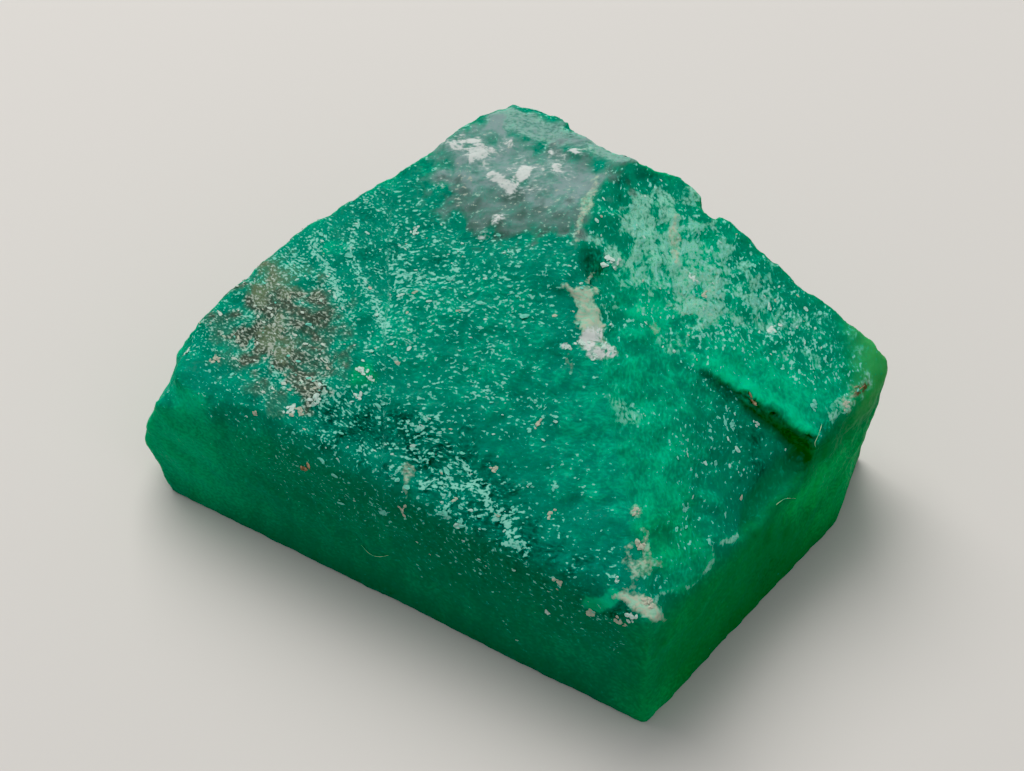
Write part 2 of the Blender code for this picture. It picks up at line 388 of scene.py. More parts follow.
# Thin over the whole right roof, thicker at its tip, and mottled everywhere.
frost += 0.34 * right * roof
frost += 0.5 * area((8.78, -1.24), (9.50, -0.63), (9.83, -0.85), (9.53, -1.36), (8.96, -1.93),
                    (8.54, -2.30), (8.52, -1.76), soft=0.15, ragged=0.6)
frost *= 1.06 + 0.40 * streaks + 0.36 * mottle + 0.36 * grit + 0.30 * clumps
# Veils on the back walls, and bruised rims round the front corner.
frost += behind * (0.55 * smooth(clouds + 0.6 * streaks, 0.15, 0.7) * smooth(z, 1.5, 4.0))
frost += 0.9 * trail((5.90, -5.28), (5.64, -5.53), (5.33, -5.77), width=0.06)
frost += 0.9 * trail((5.11, -5.96), (5.16, -6.22), (4.83, -6.79), (4.44, -7.14), width=0.05)
frost += 0.7 * trail((4.17, -7.33), (3.80, -7.55), (3.61, -7.78), width=0.05)
frost += 0.8 * trail((1.76, -7.45), (2.03, -7.61), (2.32, -7.78), (2.54, -7.76), width=0.04)

# The grey flat of the top, its own grey with a painted sheen of the sky on it, and the dark stains in
# front of it and at both ends of the ridge.
plateau = area((-2.18, 5.42), (-1.31, 6.19), (-0.77, 6.49), (0.30, 5.77), (1.41, 5.21), (2.59, 4.53),
               (2.82, 3.97), (2.25, 3.13), (1.85, 2.21), (1.36, 1.94), (0.29, 2.24), (-0.80, 2.82),
               (-1.58, 3.60), (-2.01, 4.50), soft=0.35, ragged=0.8)
plateau *= 0.94 + 0.55 * mottle + 0.35 * streaks
dark = area((-2.04, 4.61), (-0.95, 4.22), (-0.31, 3.87), (0.57, 3.54), (1.71, 3.07), (2.02, 2.41),
            (1.36, 1.88), (0.29, 2.04), (-0.74, 2.40), (-1.49, 3.31), soft=0.2, ragged=0.6)
dark += 0.7 * area((0.86, 5.67), (2.51, 4.70), (2.82, 4.20), (2.22, 4.26), (1.00, 5.18), soft=0.1,
                   ragged=0.5)
dark += area((2.82, 4.20), (3.61, 4.49), (4.17, 4.43), (3.59, 3.88), (2.89, 3.56), soft=0.1, ragged=0.5)
dark *= 0.80 + 0.9 * mottle
plateau += 0.65 * area(*BACK_STRIP, soft=0.15, ragged=0.3)

# White: chalky bruises. The largest lies on the grey flat, with smaller ones round it.
white = area((-1.53, 5.88), (-1.34, 6.09), (-0.91, 6.03), (-0.60, 5.63), (-0.18, 5.78), (-0.09, 5.38),
             (-0.37, 5.18), (-0.23, 4.73), (-0.48, 4.40), (-0.70, 4.41), (-0.98, 4.93), (-1.27, 5.28),
             soft=0.30, ragged=0.5)
white += 0.9 * trail((-0.01, 3.91), (0.21, 4.18), (0.46, 4.58), width=0.18, ragged=0.8)
white += 0.8 * trail((-0.42, 4.45), (-0.12, 4.04), width=0.16, ragged=0.8)
white += 0.7 * spot((1.32, 4.52), 0.2, 0.9)
white += 0.6 * spot((1.13, 5.20), 0.16)
white += 0.6 * spot((1.88, 5.12), 0.2, 0.9)
white += 0.7 * spot((-0.17, 2.92), 0.25, 1.0)
white += 0.6 * spot((-0.69, 2.45), 0.2, 1.0)
white += 0.5 * spot((-1.94, 4.80), 0.25, 1.0)
white += 0.5 * area((-0.26, 5.01), (1.41, 4.82), (1.81, 4.00), (0.57, 3.91), (-0.12, 4.24), soft=0.2,
                    ragged=1.2)
# Below the cream crust of the ridge, and along the strip behind the top.
white += 0.9 * spot((2.22, -0.85), 0.3, 0.3)
white += spot((2.48, -1.21), 0.14)
white += 0.9 * trail((1.93, -1.04), (2.11, -1.36), (2.37, -1.44), width=0.16)
white += 0.8 * spot((2.68, -1.37), 0.17)
white += 0.9 * spot((1.49, -1.16), 0.13)
white += 0.42 * trail((-0.18, 6.92), (0.86, 6.14), (2.30, 5.07), width=0.07)
white += 0.36 * trail((-0.32, 6.44), (0.72, 5.68), (2.10, 4.82), width=0.06)
white *= 1.05 + 0.4 * streaks + 0.35 * mottle

# Cream: a crust of clay and rock on the ridge below the peak.
cream = 0.95 * area((1.61, 0.39), (1.98, 0.49), (2.33, 0.38), (2.37, 0.06), (2.13, -0.16),
                    (2.28, -0.56), (1.96, -0.74), (1.81, -0.40), (1.87, -0.08), (1.63, 0.06), soft=0.22,
                    ragged=0.6)
cream += 0.6 * trail((2.04, 0.69), (2.22, 1.12), width=0.1)
cream += 0.7 * area((1.92, -0.47), (2.49, -0.65), (2.53, -1.21), (2.22, -1.37), (1.91, -1.15), soft=0.1)
# Streaks and a thin film beside the peak.
cream += 0.8 * trail((4.50, 3.04), (4.50, 2.35), (4.59, 1.68), width=0.13, ragged=0.8)
cream += 0.72 * trail((1.82, 1.85), (1.96, 2.41), (2.20, 3.21), (2.43, 3.94), width=0.14, ragged=1.0)
cream += 0.35 * area((4.18, 0.98), (5.57, 1.50), (5.69, 0.16), (4.79, -0.48), (4.22, 0.00), soft=0.3,
                     ragged=1.1)
# A lump on the front corner, the film behind it and what sticks to the tip.
cream += brow((2.70, -2.71), (2.85, -2.44), (3.25, -2.46), (3.54, -2.53), (3.74, -2.76), (3.79, -3.23),
              (3.53, -3.35), (3.23, -3.15), (2.99, -3.01), soft=0.12, ragged=0.25)
cream += 0.6 * area((2.82, -6.55), (3.02, -6.44), (3.17, -6.73), (3.40, -6.47), (3.38, -6.05),
                    (3.52, -6.49), (3.43, -7.22), (3.29, -7.57), (3.02, -7.50), (2.89, -7.05),
                    soft=0.12, ragged=0.5)
cream += 0.5 * trail((9.20, -1.16), (9.10, -1.47), (8.96, -1.81), width=0.12, ragged=0.9)
cream += 0.5 * trail((8.87, -1.46), (8.82, -1.86), width=0.08)
# Crumbs of it elsewhere, and a drip on the rubbed edge.
cream += 0.6 * spot((3.20, -5.61), 0.16)
cream += 0.5 * trail((1.59, -1.41), (1.61, -1.84), width=0.1)
cream += 0.5 * spot((3.88, -0.52), 0.2)
cream += 0.7 * brow((-2.87, 0.32), (-2.69, 0.53), (-2.45, 0.40), (-2.37, 0.12), (-2.49, -0.18),
                    (-2.60, -0.59), (-2.75, -0.18), soft=0.08, ragged=0.15)

# Schist: the dark rock that clings to the far left roof, stained olive, and a rusty crack in the tip.
schist = area((-7.43, 1.73), (-6.86, 2.41), (-5.75, 1.88), (-4.88, 1.20), (-4.41, 0.13), (-4.50, -0.97),
              (-4.94, -1.72), (-5.53, -1.71), (-6.63, -0.78), (-7.38, 0.40), soft=0.35, ragged=0.9)
schist *= 0.95 + 0.4 * mottle + 0.5 * streaks
schist += 0.5 * area((-8.23, 1.22), (-7.17, 2.01), (-6.63, -0.78), (-5.53, -1.86), (-6.05, -2.07),
                     (-7.53, -0.54), soft=0.3, ragged=1.0)
olive = 0.6 * area((-7.08, 2.79), (-6.37, 2.79), (-5.64, 2.36), (-5.74, 1.71), (-6.71, 1.58), soft=0.2,
                   ragged=0.8)
olive += 0.6 * area((-6.73, 0.59), (-6.09, 0.63), (-5.77, -0.08), (-6.31, -0.30), soft=0.2, ragged=0.6)
olive += 0.7 * spot((-6.96, 1.93), 0.3)
rust = 0.6 * area((9.19, -1.05), (9.59, -0.85), (9.64, -0.99), (9.28, -1.31), soft=0.08)
rust += 0.9 * trail((9.19, -1.34), (9.65, -0.93), width=0.05)

# Flecks: how thick the pale dust and the painted glints of the etched grain lie. They gather in clumps
# and along the grain.
flecks = 0.58 + 0.20 * clumps + 0.20 * rows + 0.12 * grit
# Thick on the far left roof, the left roof, the rubbed edge, the right roof and the step.
flecks += 0.30 * area((-8.49, 0.95), (-6.86, 2.99), (-5.00, 3.59), (-4.27, 0.11), (-4.72, -1.96),
                      (-7.20, -1.24), soft=0.5, ragged=0.6)
flecks += 0.14 * area((-4.47, 4.62), (1.36, 1.55), (1.34, -0.41), (-1.81, -2.25), (-3.73, 0.00),
                      soft=0.5, ragged=0.8)
flecks += 0.20 * area((-5.54, -1.55), (-2.87, -1.61), (-1.01, -3.39), (0.28, -6.07), (-1.77, -4.62),
                      (-3.88, -3.38), soft=0.4, ragged=0.8)
flecks += 0.20 * area((3.53, 2.13), (5.78, 2.94), (9.71, -0.81), (7.70, -1.80), (3.97, -0.79), soft=0.4,
                      ragged=0.8)
flecks += 0.10 * area((3.38, -2.64), (6.07, -2.43), (6.25, -4.82), (4.30, -6.56), (3.30, -5.34),
                      soft=0.4, ragged=0.8)
# Thin on the clear front, the front corner and the slab above the step.
flecks -= 0.24 * area((1.19, -2.02), (3.43, -1.05), (5.05, -0.72), (4.99, -2.26), (5.97, -4.93),
                      (4.55, -7.11), (3.26, -6.83), (2.06, -4.71), soft=0.5, ragged=0.6)
flecks -= 0.10 * area((-1.00, -4.17), (2.35, -2.66), (2.75, -7.52), (1.28, -6.89), soft=0.5, ragged=0.6)
flecks -= 0.35 * area((5.02, -0.87), (6.66, -0.98), (8.60, -1.40), (8.63, -2.22), (7.79, -2.76),
                      (6.51, -2.09), soft=0.2, ragged=0.5)
# Packed along the long crack and the one beside it.
flecks += 0.55 * trail((-4.33, 3.72), (-4.39, 2.57), (-3.84, 1.42), (-3.65, 0.72), (-3.15, -0.31),
                       width=0.14)
flecks += 0.45 * trail((-5.50, 3.36), (-5.05, 2.37), (-4.60, 1.18), (-4.24, 0.52), width=0.13)
flecks += 0.4 * trail((-3.83, -0.11), (-3.70, -0.77), width=0.1)
# Packed in the dents of the rubbed edge.
flecks += 0.55 * trail((-1.62, -4.11), (-1.32, -3.86), (-1.00, -4.22), (-0.82, -4.60), (-0.48, -5.09),
                       (-0.25, -5.39), (0.08, -5.95), (0.43, -6.33), (0.50, -6.67), width=0.12)
flecks += 0.45 * trail((-2.19, -4.42), (-1.62, -4.53), width=0.16)
flecks += 0.5 * trail((-1.36, -4.58), (-0.82, -4.55), width=0.15)
flecks += 0.45 * spot((-1.66, -5.17), 0.3)
flecks += 0.4 * spot((-1.27, -5.49), 0.25)
flecks += 0.5 * trail((-0.58, -5.97), (-0.51, -6.11), (-0.31, -6.23), width=0.09)
flecks += 0.5 * trail((-3.20, -4.31), (-3.14, -4.55), width=0.09)
# Scratches at the front of the right roof and on the left roof.
flecks += 0.45 * trail((4.50, -5.16), (4.44, -5.53), (4.32, -5.97), width=0.09)
flecks += 0.4 * trail((4.98, -5.32), (4.75, -5.63), (4.94, -5.71), (5.06, -5.90), width=0.08)
flecks += 0.3 * trail((4.79, -4.64), (4.93, -3.83), width=0.1)
flecks += 0.25 * trail((-2.99, 2.41), (-2.89, 0.80), (-2.63, -0.54), width=0.3)
flecks += 0.25 * trail((-3.02, 1.65), (-1.05, 1.01), width=0.2)
flecks += 0.3 * trail((-0.81, -2.14), (-0.24, -2.35), (0.67, -2.50), width=0.15)
flecks += 0.3 * trail((-0.24, -2.09), (0.02, -1.90), width=0.15)
# None on fresh breaks: the strip, the step's riser and chip, the thin tip, the corner and the pit.
flecks -= 0.25 * area(*BACK_STRIP, soft=0.15, ragged=0.3)
flecks -= 0.6 * riser + 0.7 * chip + 0.1 * scoop + 0.3 * glow
flecks -= 0.5 * area((1.76, -7.45), (1.82, -7.43), (2.22, -7.49), (2.58, -7.46), (2.78, -7.60),
                     (2.97, -7.96), (3.06, -8.10), (2.62, -7.96), (2.32, -7.78), soft=0.1)
flecks -= 0.5 * area(*GREEN_PIT, soft=0.08)
# The walls: thin dust below the rubbed edge, less to the right and at the foot of the left end.
wall_flecks = 0.09 + 0.12 * grit
wall_flecks += 0.50 * smooth(z, 0.6, 3.7) * smooth(x, -9.0, -5.5) * smooth(3.2 - x, 0.0, 0.6)
wall_flecks -= 0.3 * smooth(x, 3.2, 4.2)
wall_flecks -= 0.2 * smooth(-x, 6.0, 8.0) * smooth(3.2 - z, 0.0, 1.5)
wall_flecks += 0.5 * wall_trail((-0.37, 1.72), (0.08, 1.28), (0.69, 0.42), width=0.06)
wall_flecks += 0.5 * wall_trail((-0.16, 1.58), (-0.06, 1.44), width=0.1)
wall_flecks += 0.4 * wall_trail((-2.45, 2.14), (-2.36, 1.40), width=0.08)
wall_flecks += behind * (0.42 + 0.30 * clumps + 0.15 * smooth(z, 2.0, 5.5))
flecks += (wall_flecks - flecks) * wall

# The shape: the edges wander sideways, and the faces swell and are pitted along their normals.
EDGE_WANDER = 0.10
FOOT_SPREAD = 0.05                      # how far the foot is drawn out, so that it meets the ground
SWELL, RIPPLE = 0.09, 0.026             # the broad and the small waves of the faces
ROOF_ROWS, ROOF_GRIT = 0.020, 0.014     # the rows of pits on the roof and the grit between them
BACK_ROWS, BACK_GRIT = 0.035, 0.012     # the same on the broken back walls
WALL_GRIT = 0.005
CRUST_RISE, FROST_RISE = 0.045, 0.02    # how far what clings and what is bruised stand up
PIT_DEPTH = 0.10
LIP_RISE, LIP_UNDERCUT = 0.06, 0.16
CHIP_DEPTH = 0.30
wander = np.stack([fractal(place, (0.9, 0.9, 0.9), 3, seed) for seed in (1, 2, 3)], axis=1)
wander *= (0.25 + 0.75 * smooth(z, 0.3, 2.0))[:, None]
wander[:, 2] *= standing
relief = SWELL * fractal(place, (3.5, 3.5, 3.5), 2, 4)
relief += RIPPLE * fractal(place, (1.1, 1.1, 1.1), 3, 5)
relief += roof * (ROOF_ROWS * rows + ROOF_GRIT * grit) + (1.0 - roof) * WALL_GRIT * grit
relief += behind * (BACK_ROWS * rows + BACK_GRIT * grit)
relief += CRUST_RISE * np.clip(cream + white, 0.0, 1.0) * (0.7 + 0.6 * grit)
relief += FROST_RISE * np.clip(frost, 0.0, 1.0) * streaks
relief -= PIT_DEPTH * np.clip(dark, 0.0, 1.0) * smooth(tone, 0.3, 0.1)
above = smooth(lip_side, 0.0, 0.03) * smooth(0.5 - lip_side, 0.0, 0.4)
below = smooth(-lip_side, 0.0, 0.04) * smooth(0.4 + lip_side, 0.0, 0.3)
relief += (LIP_RISE * above - LIP_UNDERCUT * below) * lip_reach * roof
relief -= CHIP_DEPTH * spread(chip, edges, 20)
foot = FOOT_SPREAD * (1.0 - smooth(z, 0.2, 0.9)) * (facing[:, 2] > -0.9)
moved = place + EDGE_WANDER * wander + facing * (relief * (0.25 + 0.75 * standing) + foot)[:, None]
moved = np.clip(moved, LOW + INSIDE_BOX, HIGH - INSIDE_BOX)
moved[z < FLAT_HEIGHT, 2] = 0.0
for vert, point in zip(stone.verts, moved):
    vert.co = point


def shown(name, lump):
    """Shrink a lump to its real size and show it as a new object."""
    bmesh.ops.scale(lump, verts=lump.verts, vec=(1 / PER_MM,) * 3)
    mesh = bpy.data.meshes.new(name)
    lump.to_mesh(mesh)
    lump.free()
    piece = bpy.data.objects.new(name, mesh)
    bpy.context.collection.objects.link(piece)
    return piece


skin_points, skin_normals = survey(stone)
skin_tree = BVHTree.FromBMesh(stone)
emerald = shown("emerald", stone)
emerald.data.shade_smooth()

# The grain, in lengths of the pale dashes that lie along it, a little bent.
DASH = np.array((0.135, 0.08, 0.095))
FAR_LEFT_DASH = 0.72            # how much shorter the dashes are on the far left roof
DASH_BEND = 0.05
bend = np.stack([fractal(place, (0.4, 0.4, 0.4), 2, seed) for seed in (17, 18, 19)], axis=1)
bent = place + DASH_BEND * bend
far_grain = turned(bent, FAR_LEFT_GRAIN) / FAR_LEFT_DASH
grain = np.where((far_left > 0.5)[:, None], far_grain, turned(bent, LEFT_GRAIN))
grain = np.where((right > 0.5)[:, None], turned(bent, RIGHT_GRAIN), grain) / DASH

SKIN_MAPS = {"tone": tone, "warmth": warmth, "wall": wall, "frost": frost, "plateau": plateau,
             "dark": dark, "white": white, "cream": cream, "schist": schist, "olive": olive,
             "rust": rust, "glow": glow, "flecks": flecks}
for map_name, cover in SKIN_MAPS.items():
    skin_map = emerald.data.attributes.new(map_name, "FLOAT", "POINT")
    skin_map.data.foreach_set("value", np.clip(cover, 0.0, 1.2).astype(np.float32))
grain_map = emerald.data.attributes.new("grain", "FLOAT_VECTOR", "POINT")
grain_map.data.foreach_set("vector", grain.astype(np.float32).ravel())


def finish(name):
    """Start a finish, and return it with its node tree and its shader."""
    material = bpy.data.materials.new(name)
    material.use_nodes = True
    return material, material.node_tree, material.node_tree.nodes["Principled BSDF"]


def add(tree, kind, wires=None, **settings):
    """Add a node with its settings, and wire or fill its inputs."""
    made = tree.nodes.new(kind)
    for name, value in settings.items():
        setattr(made, name, value)
    for socket, value in (wires or {}).items():
        if isinstance(value, bpy.types.NodeSocket):
            tree.links.new(value, made.inputs[socket])
        else:
            made.inputs[socket].default_value = value
    return made


def in_millimetres(tree):
    """Return a socket that holds the place on the piece in millimetres."""
    wires = {"Vector": add(tree, "ShaderNodeTexCoord").outputs["Object"], "Scale": (PER_MM,) * 3}
    return add(tree, "ShaderNodeMapping", wires).outputs["Vector"]


def read(tree, name):
    """Return the socket of one of a piece's maps."""
    return add(tree, "ShaderNodeAttribute", attribute_name=name).outputs["Fac"]


def rise(tree, value, start, end, low=0.0, high=1.0):
    """Return a socket that goes softly from low to high as value goes from start to end."""
    wires = {"Value": value, "From Min": start, "From Max": end, "To Min": low, "To Max": high}
    return add(tree, "ShaderNodeMapRange", wires, interpolation_type="SMOOTHSTEP").outputs["Result"]


def work(tree, operation, first, second, clamp=False):
    """Return a socket that holds a sum, product or the like."""
    settings = {"operation": operation, "use_clamp": clamp}
    return add(tree, "ShaderNodeMath", {0: first, 1: second}, **settings).outputs[0]


def paint(tree, share, under, over):
    """Return a colour socket that lays one colour over another."""
    return add(tree, "ShaderNodeMix", {0: share, 6: under, 7: over}, data_type="RGBA").outputs[2]


def cloud(tree, coords, scale, detail, roughness=0.55):
    """Return a soft noise socket, about 0.3 to 0.7."""
    wires = {"Vector": coords, "Scale": scale, "Detail": detail, "Roughness": roughness}
    return add(tree, "ShaderNodeTexNoise", wires).outputs["Fac"]


def roughen(tree, shader, height, strength, depth):
    """Give a shader a fine bump of this height, in metres."""
    bump = add(tree, "ShaderNodeBump", {"Height": height, "Strength": strength, "Distance": depth})
    tree.links.new(bump.outputs["Normal"], shader.inputs["Normal"])


# The green from deep to clear, where the skin is bluish and where it is warm.
DEEP_TEAL = (0.0, 0.022, 0.015, 1.0)
BODY_TEAL = (0.0, 0.25, 0.16, 1.0)
CLEAR_TEAL = (0.0, 0.56, 0.30, 1.0)
DEEP_GRASS = (0.0, 0.035, 0.012, 1.0)
BODY_GRASS = (0.0, 0.26, 0.07, 1.0)
CLEAR_GRASS = (0.001, 0.56, 0.13, 1.0)
RIM_GREEN = (0.09, 0.48, 0.12, 1.0)
# What lies in it and on it.
FROST_THIN = (0.04, 0.46, 0.30, 1.0)
FROST_THICK = (0.25, 0.59, 0.44, 1.0)
# The grey flat: partly its own grey, partly a painted sheen of the sky.
PLATEAU_GREY_AND_SHEEN = (0.21, 0.31, 0.30, 1.0)
DARK_GREY = (0.035, 0.09, 0.065, 1.0)
CHALK = (0.56, 0.61, 0.58, 1.0)
CHALK_GREY = (0.30, 0.42, 0.38, 1.0)
CREAM = (0.46, 0.50, 0.38, 1.0)
MINT = (0.32, 0.55, 0.40, 1.0)
SCHIST_DARK = (0.052, 0.080, 0.060, 1.0)
SCHIST_BEIGE = (0.15, 0.18, 0.13, 1.0)
OLIVE = (0.11, 0.20, 0.095, 1.0)
RUST = (0.12, 0.10, 0.05, 1.0)
HALO = (0.005, 0.42, 0.30, 1.0)
PALE = (0.23, 0.58, 0.46, 1.0)
GREY_PALE = (0.34, 0.40, 0.33, 1.0)

BERYL_IOR = 1.575
BERYL_SHEEN = 0.015             # the etched skin has next to no gloss
BERYL_GREEN = (0.05, 0.8, 0.35, 1.0)    # what its absorption lets through
BERYL_DENSITY = 300.0           # of the absorption, per metre
SCATTER_REACH = 0.0006          # how far light spreads under the skin
SCATTER_COLOURS = (0.1, 1.0, 0.5)

beryl, tree, skin = finish("green_beryl")
grain_coords = add(tree, "ShaderNodeAttribute", attribute_name="grain").outputs["Vector"]
fine = cloud(tree, in_millimetres(tree), 10.0, 2.0)
grains = cloud(tree, grain_coords, 1.0, 2.0, 0.5)

# The body's green, from deep to clear and from teal to grass green, and what dulls it.
light = work(tree, "ADD", read(tree, "tone"), rise(tree, grains, 0.3, 0.7, -0.10, 0.10))
lower, upper = rise(tree, light, 0.0, 0.5), rise(tree, light, 0.5, 1.0)
teal = paint(tree, upper, paint(tree, lower, DEEP_TEAL, BODY_TEAL), CLEAR_TEAL)
grass = paint(tree, upper, paint(tree, lower, DEEP_GRASS, BODY_GRASS), CLEAR_GRASS)
colour = paint(tree, work(tree, "MINIMUM", read(tree, "warmth"), 1.0), teal, grass)
colour = paint(tree, work(tree, "MULTIPLY", read(tree, "glow"), 0.6), colour, RIM_GREEN)
uneven = work(tree, "ADD", rise(tree, fine, 0.3, 0.7, -0.15, 0.15),
              rise(tree, grains, 0.3, 0.7, -0.38, 0.38))
milk = rise(tree, work(tree, "ADD", read(tree, "frost"), uneven), 0.54, 1.40)
milky = paint(tree, rise(tree, read(tree, "frost"), 0.45, 1.1), FROST_THIN, FROST_THICK)
colour = paint(tree, milk, colour, milky)

# The grey flat, its own grey with a painted sheen of the sky, and its stains, and the rock with its
# olive stains.
grey = work(tree, "MULTIPLY", read(tree, "plateau"), rise(tree, grains, 0.25, 0.55, 0.6, 0.95), True)
colour = paint(tree, grey, colour, PLATEAU_GREY_AND_SHEEN)
colour = paint(tree, work(tree, "MULTIPLY", read(tree, "dark"), 0.65, True), colour, DARK_GREY)
layers = work(tree, "ADD", grains, work(tree, "MULTIPLY", read(tree, "olive"), 0.3))
rock = paint(tree, rise(tree, layers, 0.4, 0.7), SCHIST_DARK, SCHIST_BEIGE)
colour = paint(tree, work(tree, "MULTIPLY", read(tree, "schist"), 0.9, True), colour, rock)
colour = paint(tree, work(tree, "MULTIPLY", read(tree, "olive"), 0.6, True), colour, OLIVE)

# Pale flecks on the grain's high spots: partly pale dust, partly painted glints where the etched grain
# catches the light. Brighter green rings them, and they are greyer on the rock.
excess = work(tree, "ADD", grains, work(tree, "MULTIPLY", read(tree, "flecks"), 0.30))
excess = work(tree, "ADD", excess, rise(tree, fine, 0.3, 0.7, -0.89, -0.70))
halo = rise(tree, excess, -0.04, 0.03)
fleck = rise(tree, excess, 0.02, 0.11)
greyness = work(tree, "MAXIMUM", read(tree, "schist"), read(tree, "plateau"), True)
clean = work(tree, "SUBTRACT", 1.0, work(tree, "MULTIPLY", greyness, 0.8))
colour = paint(tree, work(tree, "MULTIPLY", halo, work(tree, "MULTIPLY", clean, 0.55)), colour, HALO)
fleck_colour = paint(tree, greyness, PALE, GREY_PALE)
colour = paint(tree, work(tree, "MULTIPLY", fleck, 0.95), colour, fleck_colour)
rusty = work(tree, "MULTIPLY", read(tree, "rust"), rise(tree, fine, 0.35, 0.55), True)
colour = paint(tree, rusty, colour, RUST)

# Clinging rock: cream crust, minty where it thins, and white chalky bruises.
crust = work(tree, "ADD", read(tree, "cream"), rise(tree, fine, 0.3, 0.7, -0.25, 0.2))
crust = rise(tree, crust, 0.22, 1.0)
crust_colour = paint(tree, rise(tree, grains, 0.4, 0.6), CREAM, MINT)
colour = paint(tree, work(tree, "MULTIPLY", crust, 0.9), colour, crust_colour)
chalk = work(tree, "ADD", read(tree, "white"), rise(tree, grains, 0.3, 0.7, -0.3, 0.25))
chalk = rise(tree, chalk, 0.28, 1.10)
packed = work(tree, "ADD", chalk, rise(tree, fine, 0.3, 0.7, -0.3, 0.1))
chalk_colour = paint(tree, rise(tree, packed, 0.2, 0.9), CHALK_GREY, CHALK)
colour = paint(tree, chalk, colour, chalk_colour)
tree.links.new(colour, skin.inputs["Base Color"])

# Where nothing covers the beryl it lets light through, most through the walls, and scatters some.
cover = work(tree, "MAXIMUM", work(tree, "MAXIMUM", fleck, grey), work(tree, "MAXIMUM", crust, chalk))
cover = work(tree, "MAXIMUM", cover, work(tree, "MULTIPLY", milk, 0.6), True)
cover = work(tree, "MAXIMUM", cover, work(tree, "MULTIPLY", read(tree, "schist"), 0.9), True)
open_skin = work(tree, "SUBTRACT", 1.0, cover, True)
clear_share = work(tree, "ADD", work(tree, "MULTIPLY", read(tree, "wall"), 0.15), 0.18)
scatter_share = work(tree, "ADD", work(tree, "MULTIPLY", read(tree, "wall"), 0.3), 0.4)
tree.links.new(work(tree, "MULTIPLY", open_skin, clear_share), skin.inputs["Transmission Weight"])
tree.links.new(work(tree, "MULTIPLY", open_skin, scatter_share), skin.inputs["Subsurface Weight"])
tree.links.new(rise(tree, fine, 0.3, 0.7, 0.5, 0.75), skin.inputs["Roughness"])
skin.inputs["Subsurface Radius"].default_value = SCATTER_COLOURS
skin.inputs["Subsurface Scale"].default_value = SCATTER_REACH
skin.inputs["IOR"].default_value = BERYL_IOR
skin.inputs["Specular IOR Level"].default_value = BERYL_SHEEN
roughen(tree, skin, fine, 0.35, 0.00003)
wires = {"Color": BERYL_GREEN, "Density": BERYL_DENSITY}
absorb = add(tree, "ShaderNodeVolumeAbsorption", wires)
tree.links.new(absorb.outputs[0], tree.nodes["Material Output"].inputs["Volume"])
emerald.data.materials.append(beryl)
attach(emerald, "root")
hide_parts("emerald_crystal")

# --------------------------------------------------------------------------------------------------
# Rock dust: pale grains of calcite, mica and clay from the mother rock, rubbed into the etched pits
# and along the cracks. Each grain is a rough flat chip, half sunk in the skin, with its long side on
# the crystal's grain. The crumbs that stand out are a few chips caked together.

